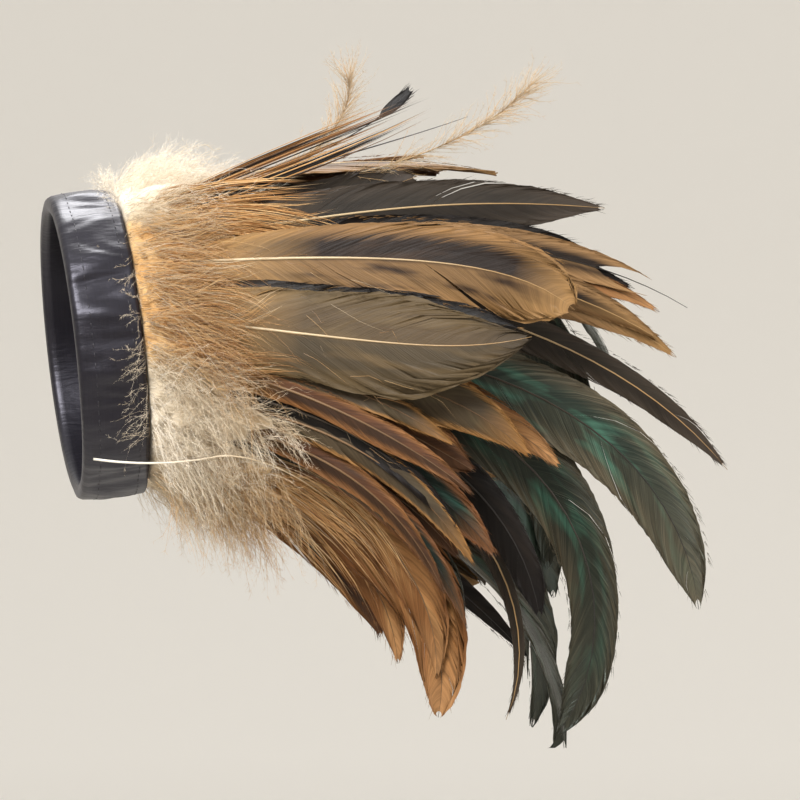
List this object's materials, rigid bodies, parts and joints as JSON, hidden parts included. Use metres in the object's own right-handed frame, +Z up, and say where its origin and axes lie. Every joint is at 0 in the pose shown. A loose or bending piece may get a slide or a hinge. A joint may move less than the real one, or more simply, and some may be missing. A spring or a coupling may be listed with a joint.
{
  "type": "feather shoulder cuff",
  "caption": "Worn shoulder cuff: a folded black satin ribbon closed round the top of the arm, holding a fringe of down, short saddle feathers and long drooping tail feathers.",
  "frame": {"origin": "middle of the arm opening, half way across the band", "axes": "+X out from the shoulder along the arm, +Y to the wearer's back, +Z up as worn"},
  "size_m": [0.2201, 0.2008, 0.2345],
  "materials": {
    "satin": "black satin with a soft purple-grey sheen",
    "tail_feather": "bronze and bottle-green feather vanes",
    "saddle_feather": "ginger, olive and bronze feather vanes",
    "down": "loose cream and buff down"
  },
  "bodies": {
    "root": {"satin_band": "satin", "long_row": "tail_feather", "short_row": "saddle_feather", "down_row": "down"}
  },
  "joints": []
}
